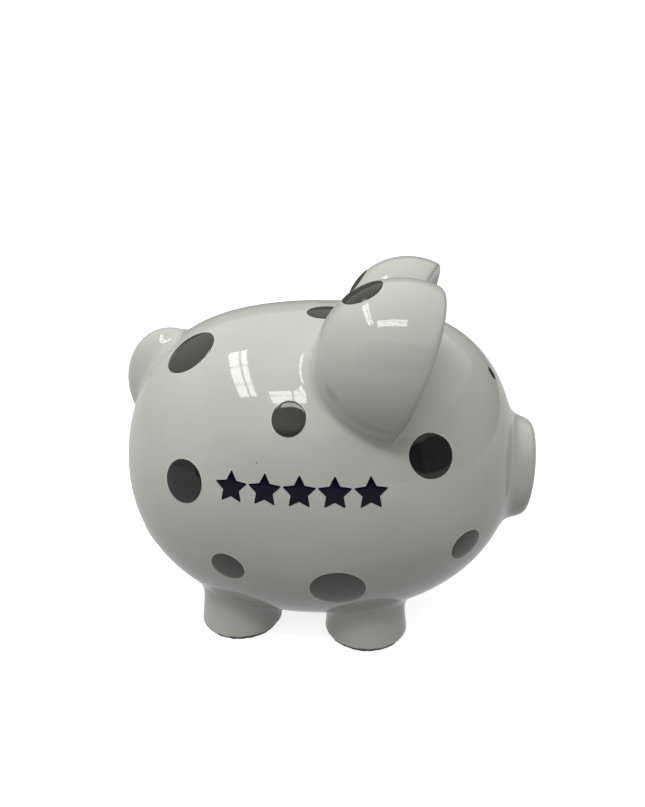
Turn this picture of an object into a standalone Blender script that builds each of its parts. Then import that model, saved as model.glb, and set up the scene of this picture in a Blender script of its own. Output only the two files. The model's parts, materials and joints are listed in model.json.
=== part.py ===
"""A glazed ceramic piggy bank with a coin slot in its back and a rubber plug in its belly.

The pig faces +X, its left side is +Y and +Z is up. The origin is on the ground, under the middle
of the whole pig. Every length is in metres and every angle in degrees, unless a name says otherwise.
"""
import math

import bmesh
import bpy
from mathutils import Matrix, Vector

# Clearance left between two pieces that touch.
GAP = 0.0003

# Body: an egg lying along X, fuller in its shoulders and rump than an ellipsoid, and nearly round across.
BODY_MIDDLE_X = -0.0033
BODY_AXIS_Z = 0.0972
BODY_HALF_LENGTH = 0.1142
BACK_HEIGHT = 0.0931
BELLY_DEPTH = 0.0949
BLUNTNESS = 0.95
BACK_TAPER = 0.02
BELLY_TAPER = -0.06
BACK_SWELL = 0.25
BELLY_SWELL = 0.04
WIDTH_TO_HEIGHT = 0.98
BELLY_FLAT_Z = 0.012
BELLY_FLAT_BLEND = 0.004
CASTING_WALL = 0.005

# Coin slot along the spine, between the ears.
SLOT_MIDDLE_X = 0.0145
SLOT_LENGTH = 0.038
SLOT_WIDTH = 0.005
SLOT_DEPTH = 0.020

# Ears: half an ellipsoid each, scooped out at the front, leaning forward and turned a little inward.
EAR_MIDDLE = Vector((0.0462, 0.0600, 0.1703))
EAR_RADII = Vector((0.0427, 0.0363, 0.0404))
EAR_FRONT_X = 0.0069
EAR_SCOOP_DEPTH = 0.007
EAR_LIP = 0.003
EAR_LEAN = 19.6
EAR_TURN = -11.0

# Snout: a short drum that points a little downward.
SNOUT_MIDDLE = Vector((0.0926, 0.0, 0.0961))
SNOUT_RADIUS = 0.0308
SNOUT_FRONT_RADIUS = 0.0296
SNOUT_LENGTH = 0.0280
SNOUT_ROOT = 0.015
SNOUT_EDGE = 0.0060
SNOUT_TILT = 3.5
NOSTRIL_SPACING = 0.0200
NOSTRIL_RADII = Vector((0.0055, 0.0036, 0.0040))
NOSTRIL_MIDDLE_AHEAD = 0.0010

# Tail: a round knob high on the rump.
TAIL_MIDDLE = Vector((-0.0949, 0.0, 0.1401))
TAIL_RADII = Vector((0.0279, 0.0200, 0.0330))

# Legs and the pads under them.
LEG_FRONT_X = 0.0284
LEG_REAR_X = -0.0476
LEG_SIDE_Y = 0.0343
LEG_RADIUS = 0.0238
LEG_FLARE = 0.0020
LEG_EDGE = 0.0012
LEG_TOP_Z = 0.040
PAD_THICKNESS = 0.0015
PAD_RADIUS = 0.0230
PAD_BEVEL = 0.0003

# Rubber plug in the belly, and the hole it closes.
HOLE_RADIUS = 0.0170
PLUG_FLANGE_RADIUS = 0.0210
PLUG_FLANGE_THICKNESS = 0.0022
PLUG_LIP_ABOVE_WALL = 0.0028
PLUG_HOLLOW_RADIUS = 0.0110
PLUG_FLOOR = 0.0030
PLUG_EDGE = 0.0008
PLUG_TAB_LENGTH = 0.0055
PLUG_TAB_WIDTH = 0.0100
PLUG_TAB_THICKNESS = 0.0015
PLUG_TAB_ROUNDING = 0.0035

# Vinyl stars in a row on the pig's right flank.
STAR_COUNT = 5
STAR_ROW_MIDDLE_X = 0.0003
STAR_ROW_Z = 0.1130
STAR_PITCH = 0.0170
STAR_RADIUS = 0.0088
STAR_INNER_RATIO = 0.50
STAR_THICKNESS = 0.0004

# Facets around and along the curved pieces.
BODY_SEGMENTS = 48
BODY_RINGS = 28
CAVITY_SEGMENTS = 32
CAVITY_RINGS = 18
EAR_SEGMENTS = 28
EAR_RINGS = 18
TAIL_SEGMENTS = 20
TAIL_RINGS = 14
TURNED_STEPS = 32
ARC_STEPS = 3


def clear_scene():
    for thing in list(bpy.data.objects):
        bpy.data.objects.remove(thing)


def finish_material(name, color, roughness, metallic=0.0):
    material = bpy.data.materials.new(name)
    material.use_nodes = True
    shader = material.node_tree.nodes["Principled BSDF"]
    shader.inputs["Base Color"].default_value = (*color, 1.0)
    shader.inputs["Roughness"].default_value = roughness
    shader.inputs["Metallic"].default_value = metallic
    return material


def white_glaze(name):
    return finish_material(name, (0.80, 0.80, 0.77), 0.08)


def grey_felt(name):
    return finish_material(name, (0.30, 0.30, 0.29), 0.90)


def clear_rubber(name):
    return finish_material(name, (0.70, 0.71, 0.69), 0.50)


def navy_vinyl(name):
    return finish_material(name, (0.003, 0.004, 0.030), 0.30)


def add_object(name, mesh_builder, material=None):
    """Turn a bmesh into an object, shaded smooth except at its sharp edges."""
    mesh = bpy.data.meshes.new(name)
    mesh_builder.to_mesh(mesh)
    mesh_builder.free()
    mesh.shade_smooth()
    mesh.set_sharp_from_angle(angle=math.radians(40))
    if material:
        mesh.materials.append(material)
    thing = bpy.data.objects.new(name, mesh)
    bpy.context.scene.collection.objects.link(thing)
    return thing


def add_cutter(name, mesh_builder):
    cutter = add_object(name, mesh_builder)
    cutter.hide_render = True
    cutter.display_type = "WIRE"
    return cutter


def apply_boolean(target, tool, operation="DIFFERENCE"):
    modifier = target.modifiers.new(tool.name, "BOOLEAN")
    modifier.operation = operation
    modifier.solver = "EXACT"
    modifier.object = tool


def mapped_ball(segments, rings, shape):
    """A ball with its poles on X, with every point of it moved to where shape() puts it."""
    ball = bmesh.new()
    poles_on_x = Matrix.Rotation(math.radians(90), 4, "Y")
    bmesh.ops.create_uvsphere(ball, u_segments=segments, v_segments=rings, radius=1.0, matrix=poles_on_x)
    for vertex in ball.verts:
        vertex.co = shape(vertex.co)
    return ball


def turned(profile, steps=TURNED_STEPS):
    """Spin a profile of (radius, height) points, which starts and ends on the axis, about Z."""
    body = bmesh.new()
    points = [body.verts.new((radius, 0.0, height)) for radius, height in profile]
    edges = [body.edges.new(pair) for pair in zip(points, points[1:])]
    bmesh.ops.spin(body, geom=points + edges, axis=(0, 0, 1), cent=(0, 0, 0), steps=steps, angle=math.tau)
    bmesh.ops.remove_doubles(body, verts=body.verts, dist=1e-6)
    bmesh.ops.recalc_face_normals(body, faces=body.faces)
    return body


def arc(middle_radius, middle_height, radius, start, end):
    """Points of a rounded edge, from the angle start to the angle end, counted from the +radius side."""
    angles = [start + (end - start) * step / ARC_STEPS for step in range(ARC_STEPS + 1)]
    turns = [math.radians(angle) for angle in angles]
    return [(middle_radius + radius * math.cos(t), middle_height + radius * math.sin(t)) for t in turns]


def soft_floor(height, floor, blend):
    """The height, held above the floor with a soft bend where it nears it."""
    return floor + blend * math.log1p(math.exp((height - floor) / blend))


def body_section(x, offset=0.0):
    """Half-width, height above the axis and depth below it of the body's section at x."""
    station = (x - BODY_MIDDLE_X) / (BODY_HALF_LENGTH + offset)
    fullness = max(0.0, 1.0 - station * station) ** (BLUNTNESS / 2)
    back = (BACK_HEIGHT + offset) * fullness * (1 + (BACK_TAPER + BACK_SWELL * station) * station)
    belly = (BELLY_DEPTH + offset) * fullness * (1 + (BELLY_TAPER + BELLY_SWELL * station) * station)
    half_width = WIDTH_TO_HEIGHT * (back + belly) / 2
    return half_width, back, belly


def body_shape(offset):
    """Maps a unit ball onto the body's surface, moved outward by offset."""

    def shape(direction):
        x = BODY_MIDDLE_X + (BODY_HALF_LENGTH + offset) * direction.x
        half_width, back, belly = body_section(x, offset)
        across = math.hypot(direction.y, direction.z) or 1.0
        height = back if direction.z > 0 else belly
        y = half_width * direction.y / across
        z = BODY_AXIS_Z + height * direction.z / across
        return Vector((x, y, soft_floor(z, BELLY_FLAT_Z - offset, BELLY_FLAT_BLEND)))

    return shape


def belly_z(x, y):
    """Height of the belly's outer surface above the ground."""
    half_width, _, belly = body_section(x)
    z = BODY_AXIS_Z - belly * math.sqrt(1 - (y / half_width) ** 2)
    return soft_floor(z, BELLY_FLAT_Z, BELLY_FLAT_BLEND)


def back_z(x):
    return BODY_AXIS_Z + body_section(x)[1]


def flank_y(x, z, offset):
    """Where the pig's right flank lies at x and z, moved outward by offset."""
    half_width, back, belly = body_section(x, offset)
    rise = z - BODY_AXIS_Z
    height = back if rise > 0 else belly
    return -half_width * math.sqrt(1 - (rise / height) ** 2)


def slot_outline():
    """A bar with round ends, along X."""
    bar = bmesh.new()
    half_straight = (SLOT_LENGTH - SLOT_WIDTH) / 2
    corners = []
    for end, start_angle in ((1, -90), (-1, 90)):
        for step in range(2 * ARC_STEPS + 1):
            turn = math.radians(start_angle + 90 * step / ARC_STEPS)
            x = SLOT_MIDDLE_X + end * half_straight + SLOT_WIDTH / 2 * math.cos(turn)
            corners.append(bar.verts.new((x, SLOT_WIDTH / 2 * math.sin(turn), 0.0)))
    bar.faces.new(corners)
    return bar


def make_slot_cutter():
    bar = slot_outline()
    top = bmesh.ops.extrude_face_region(bar, geom=bar.faces[:])
    raised = [item for item in top["geom"] if isinstance(item, bmesh.types.BMVert)]
    bmesh.ops.translate(bar, vec=(0, 0, 2 * SLOT_DEPTH), verts=raised)
    bmesh.ops.recalc_face_normals(bar, faces=bar.faces)
    cutter = add_cutter("slot_cutter", bar)
    cutter.location.z = back_z(SLOT_MIDDLE_X) - SLOT_DEPTH
    return cutter


def plug_x():
    return (LEG_FRONT_X + LEG_REAR_X) / 2


def make_hole_cutter():
    hole = bmesh.new()
    depth = 2 * BELLY_FLAT_Z
    bmesh.ops.create_cone(
        hole, cap_ends=True, segments=TURNED_STEPS, radius1=HOLE_RADIUS, radius2=HOLE_RADIUS, depth=depth
    )
    cutter = add_cutter("hole_cutter", hole)
    cutter.location = (plug_x(), 0, depth / 2 + CASTING_WALL)
    return cutter


def make_body():
    shell = add_object(
        "body_shell",
        mapped_ball(BODY_SEGMENTS, BODY_RINGS, body_shape(0.0)),
        white_glaze("body_glaze"),
    )
    cavity = mapped_ball(CAVITY_SEGMENTS, CAVITY_RINGS, body_shape(-CASTING_WALL))
    apply_boolean(shell, add_cutter("cavity_cutter", cavity))
    apply_boolean(shell, make_slot_cutter())
    apply_boolean(shell, make_hole_cutter())


def ear_shape(direction):
    """Maps a unit ball onto an ear, whose front is dished in behind a rounded lip."""
    point = Vector(direction[i] * EAR_RADII[i] for i in range(3))
    rim_share = 1 - (EAR_FRONT_X / EAR_RADII.x) ** 2
    from_middle = (direction.y**2 + direction.z**2) / rim_share
    dish_x = EAR_FRONT_X - EAR_SCOOP_DEPTH * (1 - from_middle)
    point.x = dish_x - soft_floor(dish_x - point.x, 0.0, EAR_LIP / 2)
    return point


def make_ear(name, side, clearance):
    ear = add_object(name, mapped_ball(EAR_SEGMENTS, EAR_RINGS, ear_shape), white_glaze(name + "_glaze"))
    ear.location = (EAR_MIDDLE.x, side * EAR_MIDDLE.y, EAR_MIDDLE.z)
    ear.rotation_euler = (0, math.radians(EAR_LEAN), side * math.radians(EAR_TURN))
    apply_boolean(ear, clearance)


def snout_profile():
    side_top = SNOUT_LENGTH - SNOUT_EDGE
    edge = arc(SNOUT_FRONT_RADIUS - SNOUT_EDGE, side_top, SNOUT_EDGE, 0, 90)
    root = [(0.0, -SNOUT_ROOT), (SNOUT_RADIUS, -SNOUT_ROOT), (SNOUT_RADIUS, 0.0)]
    return root + edge + [(0.0, SNOUT_LENGTH)]


def make_nostril_cutter(name, side, snout):
    """An oval dent in the flat front of the snout. The oval's middle lies just ahead of the front."""
    dent = bmesh.new()
    bmesh.ops.create_uvsphere(dent, u_segments=12, v_segments=8, radius=1.0)
    bmesh.ops.scale(dent, vec=NOSTRIL_RADII, verts=dent.verts)
    cutter = add_cutter(name, dent)
    cutter.parent = snout
    cutter.location = (0, side * NOSTRIL_SPACING / 2, SNOUT_LENGTH + NOSTRIL_MIDDLE_AHEAD)
    return cutter


def make_snout(clearance):
    snout = add_object("snout", turned(snout_profile()), white_glaze("snout_glaze"))
    snout.location = SNOUT_MIDDLE
    snout.rotation_euler = (0, math.radians(90 + SNOUT_TILT), 0)
    apply_boolean(snout, make_nostril_cutter("nostril_cutter_left", 1, snout))
    apply_boolean(snout, make_nostril_cutter("nostril_cutter_right", -1, snout))
    apply_boolean(snout, clearance)


def tail_shape(direction):
    return Vector(direction[i] * TAIL_RADII[i] for i in range(3))


def make_tail(clearance):
    tail = add_object("tail", mapped_ball(TAIL_SEGMENTS, TAIL_RINGS, tail_shape), white_glaze("tail_glaze"))
    tail.location = TAIL_MIDDLE
    apply_boolean(tail, clearance)


def leg_profile():
    sole = PAD_THICKNESS + GAP
    edge = arc(LEG_RADIUS - LEG_EDGE, sole + LEG_EDGE, LEG_EDGE, -90, 0)
    return [(0.0, sole)] + edge + [(LEG_RADIUS + LEG_FLARE, LEG_TOP_Z), (0.0, LEG_TOP_Z)]


def make_leg(place, x, y, clearance):
    leg = add_object("leg_" + place, turned(leg_profile()), white_glaze("leg_glaze_" + place))
    leg.location = (x, y, 0)
    apply_boolean(leg, clearance)


def make_foot_pad(place, x, y):
    disc = bmesh.new()
    bmesh.ops.create_cone(
        disc,
        cap_ends=True,
        segments=TURNED_STEPS,
        radius1=PAD_RADIUS,
        radius2=PAD_RADIUS,
        depth=PAD_THICKNESS,
    )
    pad = add_object("foot_pad_" + place, disc, grey_felt("felt_" + place))
    pad.location = (x, y, PAD_THICKNESS / 2)
    bevel = pad.modifiers.new("edge", "BEVEL")
    bevel.width = PAD_BEVEL
    bevel.segments = 1


def make_legs(clearance):
    for end, x in (("front", LEG_FRONT_X), ("rear", LEG_REAR_X)):
        for side, y in (("left", LEG_SIDE_Y), ("right", -LEG_SIDE_Y)):
            place = end + "_" + side
            make_leg(place, x, y, clearance)
            make_foot_pad(place, x, y)


def plug_profile(flange_top, barrel_top):
    """Flange under the belly, barrel through the hole, and a hollow that lets the barrel squeeze."""
    flange_bottom = flange_top - PLUG_FLANGE_THICKNESS
    barrel_radius = HOLE_RADIUS - GAP
    lower_edge = arc(PLUG_FLANGE_RADIUS - PLUG_EDGE, flange_bottom + PLUG_EDGE, PLUG_EDGE, -90, 0)
    upper_edge = arc(barrel_radius - PLUG_EDGE, barrel_top - PLUG_EDGE, PLUG_EDGE, 0, 90)
    inside = [
        (PLUG_HOLLOW_RADIUS, barrel_top),
        (PLUG_HOLLOW_RADIUS, flange_bottom + PLUG_FLOOR),
        (0.0, flange_bottom + PLUG_FLOOR),
    ]
    return (
        [(0.0, flange_bottom)]
        + lower_edge
        + [(PLUG_FLANGE_RADIUS, flange_top), (barrel_radius, flange_top)]
        + upper_edge
        + inside
    )


def make_plug_tab(plug, flange_top):
    """A tab on the flange's rear edge, for a fingernail."""
    tab = bmesh.new()
    bmesh.ops.create_cube(tab, size=1.0)
    bmesh.ops.scale(tab, vec=(2 * PLUG_TAB_LENGTH, PLUG_TAB_WIDTH, PLUG_TAB_THICKNESS), verts=tab.verts)
    upright = [edge for edge in tab.edges if edge.verts[0].co.xy == edge.verts[1].co.xy]
    bmesh.ops.bevel(
        tab, geom=upright, offset=PLUG_TAB_ROUNDING, segments=ARC_STEPS, profile=0.5, affect="EDGES"
    )
    tool = add_cutter("plug_tab", tab)
    tool.parent = plug
    tool.location = (-PLUG_FLANGE_RADIUS, 0, flange_top - PLUG_FLANGE_THICKNESS / 2)
    return tool


def make_plug():
    x = plug_x()
    flange_top = belly_z(x, 0) - 2 * GAP
    barrel_top = belly_z(x, 0) + CASTING_WALL + PLUG_LIP_ABOVE_WALL
    plug = add_object("belly_stopper", turned(plug_profile(flange_top, barrel_top)), clear_rubber("rubber"))
    plug.location = (x, 0, 0)
    apply_boolean(plug, make_plug_tab(plug, flange_top), "UNION")


def star_outline(index):
    """Corners of the star, as x and z, with its first point up."""
    middle_x = STAR_ROW_MIDDLE_X + (index - (STAR_COUNT - 1) / 2) * STAR_PITCH
    corners = []
    for corner in range(10):
        turn = math.radians(90 + 36 * corner)
        radius = STAR_RADIUS * (STAR_INNER_RATIO if corner % 2 else 1.0)
        corners.append((middle_x + radius * math.cos(turn), STAR_ROW_Z + radius * math.sin(turn)))
    return middle_x, corners


def make_star(index):
    """A star that follows the flank, with its back GAP clear of it."""
    middle_x, corners = star_outline(index)
    star = bmesh.new()
    layers = []
    for offset in (GAP, GAP + STAR_THICKNESS):
        hub = star.verts.new((middle_x, flank_y(middle_x, STAR_ROW_Z, offset), STAR_ROW_Z))
        rim = [star.verts.new((x, flank_y(x, z, offset), z)) for x, z in corners]
        for first, second in zip(rim, rim[1:] + rim[:1]):
            star.faces.new((hub, first, second))
        layers.append(rim)
    bmesh.ops.bridge_loops(star, edges=[edge for edge in star.edges if edge.is_boundary])
    bmesh.ops.recalc_face_normals(star, faces=star.faces)
    number = str(index + 1)
    add_object("decal_star_" + number, star, navy_vinyl("vinyl_" + number))


def make_piggy_bank():
    clear_scene()
    make_body()
    clearance = add_cutter("body_clearance", mapped_ball(BODY_SEGMENTS, BODY_RINGS, body_shape(GAP)))
    make_ear("ear_left", 1, clearance)
    make_ear("ear_right", -1, clearance)
    make_snout(clearance)
    make_tail(clearance)
    make_legs(clearance)
    make_plug()
    for index in range(STAR_COUNT):
        make_star(index)


make_piggy_bank()
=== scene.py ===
"""A glazed ceramic piggy bank with painted dots, on a pale floor.

Shapes are worked out in millimetres as signed distances, meshed, and handed to Blender in metres.
The pig faces +X, its left side is +Y and +Z is up.
"""
import json
import math

import bpy
import numpy as np
from mathutils import Matrix, Vector
from mathutils.geometry import delaunay_2d_cdt


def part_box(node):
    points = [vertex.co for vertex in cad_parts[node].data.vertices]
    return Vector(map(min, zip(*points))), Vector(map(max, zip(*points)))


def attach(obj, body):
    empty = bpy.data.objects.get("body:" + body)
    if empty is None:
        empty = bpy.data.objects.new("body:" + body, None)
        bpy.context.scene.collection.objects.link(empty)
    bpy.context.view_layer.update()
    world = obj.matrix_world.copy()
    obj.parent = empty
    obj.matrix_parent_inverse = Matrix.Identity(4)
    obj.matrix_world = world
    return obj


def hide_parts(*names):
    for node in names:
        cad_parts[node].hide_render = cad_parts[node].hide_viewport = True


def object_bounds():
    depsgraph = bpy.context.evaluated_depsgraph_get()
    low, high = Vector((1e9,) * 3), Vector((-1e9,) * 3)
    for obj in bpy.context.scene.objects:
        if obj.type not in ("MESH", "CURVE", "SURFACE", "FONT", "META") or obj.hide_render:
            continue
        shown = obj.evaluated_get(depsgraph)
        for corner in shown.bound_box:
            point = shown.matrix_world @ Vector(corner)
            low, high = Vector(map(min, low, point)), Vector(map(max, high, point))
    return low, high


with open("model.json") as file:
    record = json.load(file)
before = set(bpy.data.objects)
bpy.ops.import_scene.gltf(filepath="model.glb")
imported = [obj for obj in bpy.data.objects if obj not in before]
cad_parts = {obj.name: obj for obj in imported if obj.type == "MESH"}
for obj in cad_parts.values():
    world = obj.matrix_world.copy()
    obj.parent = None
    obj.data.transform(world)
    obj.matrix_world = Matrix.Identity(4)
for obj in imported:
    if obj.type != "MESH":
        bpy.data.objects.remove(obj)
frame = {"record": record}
cad_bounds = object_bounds()

MM = 0.001
GRID_STEP = 1.5
UP = np.array((0.0, 0.0, 1.0))


def box_mm(node):
    """Lowest and highest corner of a CAD node, in millimetres."""
    low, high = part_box(node)
    return np.array(low) / MM, np.array(high) / MM


def opening_mm(name):
    """Lowest and highest corner of one of the record's openings, in millimetres."""
    boxes = {item["name"]: item["box_m"] for item in frame["record"]["physics"]["openings"]}
    return np.array(boxes[name]) / MM


# Body: an egg along X, fuller in its shoulders and rump than an ellipsoid, flattened underneath.
BODY_LOW, BODY_HIGH = box_mm("body_shell")
BODY_MIDDLE_X = (BODY_LOW[0] + BODY_HIGH[0]) / 2
BODY_HALF_LENGTH = (BODY_HIGH[0] - BODY_LOW[0]) / 2
BODY_AXIS_SHARE = 0.5107
BODY_AXIS_Z = BODY_AXIS_SHARE * BODY_HIGH[2]
WIDTH_TO_HEIGHT = 0.98
BACK_HEIGHT = BODY_HIGH[2] - BODY_AXIS_Z
BELLY_DEPTH = (BODY_HIGH[1] - BODY_LOW[1]) / WIDTH_TO_HEIGHT - BACK_HEIGHT
BLUNTNESS = 0.95
BACK_TAPER = 0.02
BELLY_TAPER = -0.06
BACK_SWELL = 0.25
BELLY_SWELL = 0.04
FLANK_BLEND = 25.0
BELLY_FLAT_Z = 12.0
BELLY_FLAT_BLEND = 4.0
CASTING_WALL = 5.0

# Ears: scooped half ellipsoids, leaning forward and turned a little inward. The scoop's limit is
# where it stops sloping, in shares of the rim's radius, squared.
EAR_RADII = np.array((42.7, 36.3, 40.4))
EAR_FRONT_X = 6.9
EAR_SCOOP_DEPTH = 7.0
EAR_SCOOP_LIMIT = 1.6
EAR_LIP = 6.0
EAR_LEAN = math.radians(19.6)
EAR_TURN = math.radians(-11.0)
EAR_RIM_SHARE = 1 - (EAR_FRONT_X / EAR_RADII[0]) ** 2
EAR_FILLET_LOW = 3.5
EAR_FILLET_HIGH = 17.0
EAR_FILLET_Z = (138.0, 172.0)

# Snout: a rounded drum tilted a little downward, with two oval dents. It reaches furthest forward
# above its axis, and the middle of its CAD box is a little behind its front.
SNOUT_TILT = math.radians(3.2)
SNOUT_RADIUS = 30.4
SNOUT_TAPER = 0.05
SNOUT_RADIUS_BEHIND = 28.0
SNOUT_EDGE = 13.9
SNOUT_DISH = 1.2
SNOUT_ROOT = 45.0
SNOUT_FILLET = 13.7
SNOUT_FURTHEST_UP = 24.0
SNOUT_MIDDLE_BEHIND = 4.0
NOSTRIL_SPACING = 20.0
NOSTRIL_RADII = np.array((4.0, 3.6, 5.5))
NOSTRIL_EDGE = 2.0

TAIL_RADII = np.array((27.9, 20.0, 33.0))
TAIL_FILLET = 5.7

LEG_RADIUS = 23.2
LEG_RADIUS_Z = 12.0
LEG_TAPER = 0.11
LEG_EDGE = 1.6
LEG_FILLET = 10.3


def axes_of(points):
    return points[..., 0], points[..., 1], points[..., 2]


def smooth_min(a, b, reach):
    near = np.clip(reach - np.abs(a - b), 0, None) / reach
    return np.minimum(a, b) - near**3 * reach / 6


def smooth_max(a, b, reach):
    return -smooth_min(-a, -b, reach)


def ellipsoid_distance(x, y, z, radii):
    level = np.sqrt((x / radii[0]) ** 2 + (y / radii[1]) ** 2 + (z / radii[2]) ** 2)
    slope = np.sqrt((x / radii[0] ** 2) ** 2 + (y / radii[1] ** 2) ** 2 + (z / radii[2] ** 2) ** 2)
    return level * (level - 1) / np.maximum(slope, 1e-9)


def body_distance(x, y, z):
    along = (x - BODY_MIDDLE_X) / BODY_HALF_LENGTH
    rise = z - BODY_AXIS_Z
    back = BACK_HEIGHT * (1 + (BACK_TAPER + BACK_SWELL * along) * along)
    belly = BELLY_DEPTH * (1 + (BELLY_TAPER + BELLY_SWELL * along) * along)
    upper = np.clip(0.5 + rise / (2 * FLANK_BLEND), 0, 1)
    upper = upper * upper * (3 - 2 * upper)
    height = belly + (back - belly) * upper
    width = WIDTH_TO_HEIGHT * (back + belly) / 2
    across = np.maximum((y / width) ** 2 + (rise / height) ** 2, 1e-9)
    power = 1 / BLUNTNESS
    level = across**power + along**2
    steepness = power * across ** (power - 1)
    slope = np.sqrt(
        (along / BODY_HALF_LENGTH) ** 2
        + (steepness * y / width**2) ** 2
        + (steepness * rise / height**2) ** 2
    )
    root = np.sqrt(level)
    round_distance = (root - 1) * root / np.maximum(slope, 1e-9)
    blend = BELLY_FLAT_BLEND
    return blend * np.logaddexp(round_distance / blend, (BELLY_FLAT_Z - z) / blend)


def ear_axes():
    """The left ear's own X, Y and Z axes, as columns."""
    turn = Matrix.Rotation(EAR_TURN, 3, "Z") @ Matrix.Rotation(EAR_LEAN, 3, "Y")
    return np.array(turn)


def ear_corner():
    """The highest x, y and z the left ear reaches from its own middle."""
    around, up = np.meshgrid(np.linspace(0, math.tau, 181), np.linspace(0, math.pi, 91))
    ball = np.stack((np.cos(up), np.sin(up) * np.cos(around), np.sin(up) * np.sin(around)), -1)
    points = ball * EAR_RADII
    from_middle = (ball[..., 1] ** 2 + ball[..., 2] ** 2) / EAR_RIM_SHARE
    dish = EAR_FRONT_X - EAR_SCOOP_DEPTH * (1 - from_middle)
    lip = EAR_LIP / 4
    points[..., 0] = dish - lip * np.logaddexp(0, (dish - points[..., 0]) / lip)
    return (points @ ear_axes().T).reshape(-1, 3).max(0)


EAR_AXES = ear_axes()
EAR_MIDDLE = box_mm("ear_left")[1] - ear_corner()


def ear_distance(x, y, z):
    offset = np.stack((x, y, z), -1) - EAR_MIDDLE
    local = offset @ EAR_AXES
    lx, ly, lz = axes_of(local)
    dome = ellipsoid_distance(lx, ly, lz, EAR_RADII)
    from_middle = ((ly / EAR_RADII[1]) ** 2 + (lz / EAR_RADII[2]) ** 2) / EAR_RIM_SHARE
    dish = lx - EAR_FRONT_X + EAR_SCOOP_DEPTH * (1 - np.minimum(from_middle, EAR_SCOOP_LIMIT))
    slope = np.hypot(ly / EAR_RADII[1] ** 2, lz / EAR_RADII[2] ** 2)
    lean = 2 * EAR_SCOOP_DEPTH / EAR_RIM_SHARE * slope
    return smooth_max(dome, dish / np.hypot(1, lean), EAR_LIP)


SNOUT_LOW, SNOUT_HIGH = box_mm("snout")
SNOUT_DIRECTION = np.array((math.cos(SNOUT_TILT), 0.0, -math.sin(SNOUT_TILT)))
SNOUT_UPWARD = np.array((math.sin(SNOUT_TILT), 0.0, math.cos(SNOUT_TILT)))
SNOUT_FRONT = np.array(
    (
        SNOUT_HIGH[0] - SNOUT_FURTHEST_UP * math.sin(SNOUT_TILT),
        0.0,
        (SNOUT_LOW[2] + SNOUT_HIGH[2]) / 2 - SNOUT_MIDDLE_BEHIND * math.sin(SNOUT_TILT),
    )
)


def snout_local(x, y, z):
    """Distance ahead of the snout's front, and up and sideways from its axis."""
    dx, dz = x - SNOUT_FRONT[0], z - SNOUT_FRONT[2]
    ahead = dx * SNOUT_DIRECTION[0] + dz * SNOUT_DIRECTION[2]
    return ahead, y, dx * SNOUT_UPWARD[0] + dz * SNOUT_UPWARD[2]


def snout_distance(x, y, z):
    ahead, sideways, up = snout_local(x, y, z)
    out = np.hypot(sideways, up)
    side = out - SNOUT_RADIUS + SNOUT_TAPER * (ahead + SNOUT_RADIUS_BEHIND)
    face = ahead + SNOUT_DISH * np.clip(1 - (out / SNOUT_RADIUS) ** 2, 0, None)
    return np.maximum(smooth_max(side, face, SNOUT_EDGE), -SNOUT_ROOT - ahead)


def nostril_distance(x, y, z):
    ahead, sideways, up = snout_local(x, y, z)
    return ellipsoid_distance(ahead, np.abs(sideways) - NOSTRIL_SPACING / 2, up, NOSTRIL_RADII)


TAIL_LOW, TAIL_HIGH = box_mm("tail")
TAIL_MIDDLE = np.array((TAIL_LOW[0] + TAIL_RADII[0], 0.0, TAIL_HIGH[2] - TAIL_RADII[2]))


def tail_distance(x, y, z):
    return ellipsoid_distance(x - TAIL_MIDDLE[0], y, z - TAIL_MIDDLE[2], TAIL_RADII)


PAD_FRONT = sum(box_mm("foot_pad_front_left")) / 2
PAD_REAR = sum(box_mm("foot_pad_rear_left")) / 2
LEGS_MIDDLE_X = (PAD_FRONT[0] + PAD_REAR[0]) / 2
LEG_SPREAD_X = (PAD_FRONT[0] - PAD_REAR[0]) / 2
LEG_SIDE_Y = PAD_FRONT[1]
LEG_SOLE_Z = box_mm("leg_front_left")[0][2]


def leg_distance(x, y, z):
    side = np.hypot(np.abs(x - LEGS_MIDDLE_X) - LEG_SPREAD_X, y - LEG_SIDE_Y)
    side += LEG_TAPER * (z - LEG_RADIUS_Z) - LEG_RADIUS
    leg = smooth_max(side, LEG_SOLE_Z - z, LEG_EDGE)
    return np.maximum(leg, z - BODY_AXIS_Z / 2)


def part_distances(points):
    """Distances to body, snout, tail, the ear and the leg on the point's own side."""
    x, y, z = axes_of(points)
    side = np.abs(y)
    return (
        body_distance(x, y, z),
        snout_distance(x, y, z),
        tail_distance(x, y, z),
        ear_distance(x, side, z),
        leg_distance(x, side, z),
    )


def ear_fillet(z):
    """The ears run softly into the back, and meet the flanks in a tighter crease."""
    share = np.clip((z - EAR_FILLET_Z[0]) / (EAR_FILLET_Z[1] - EAR_FILLET_Z[0]), 0, 1)
    return EAR_FILLET_LOW + (EAR_FILLET_HIGH - EAR_FILLET_LOW) * share * share * (3 - 2 * share)


def bank_distance(points):
    body, snout, tail, ear, leg = part_distances(points)
    whole = smooth_min(body, snout, SNOUT_FILLET)
    whole = smooth_min(whole, tail, TAIL_FILLET)
    whole = smooth_min(whole, ear, ear_fillet(points[..., 2]))
    whole = smooth_min(whole, leg, LEG_FILLET)
    nostril = nostril_distance(*axes_of(points))
    return smooth_max(whole, -nostril, NOSTRIL_EDGE)


def gradient(distance, points, reach=0.05):
    slopes = []
    for axis in range(3):
        shift = np.zeros(3)
        shift[axis] = reach
        slopes.append((distance(points + shift) - distance(points - shift)) / (2 * reach))
    return np.stack(slopes, -1)


def unit(vectors):
    return vectors / np.maximum(np.linalg.norm(vectors, axis=-1, keepdims=True), 1e-12)


def settle(points, distance=bank_distance, level=0.0, rounds=3):
    """Moves points straight onto the surface."""
    for _ in range(rounds):
        slope = gradient(distance, points)
        off = distance(points) - level
        points = points - (off / np.maximum((slope**2).sum(-1), 1e-9))[..., None] * slope
    return points


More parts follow.
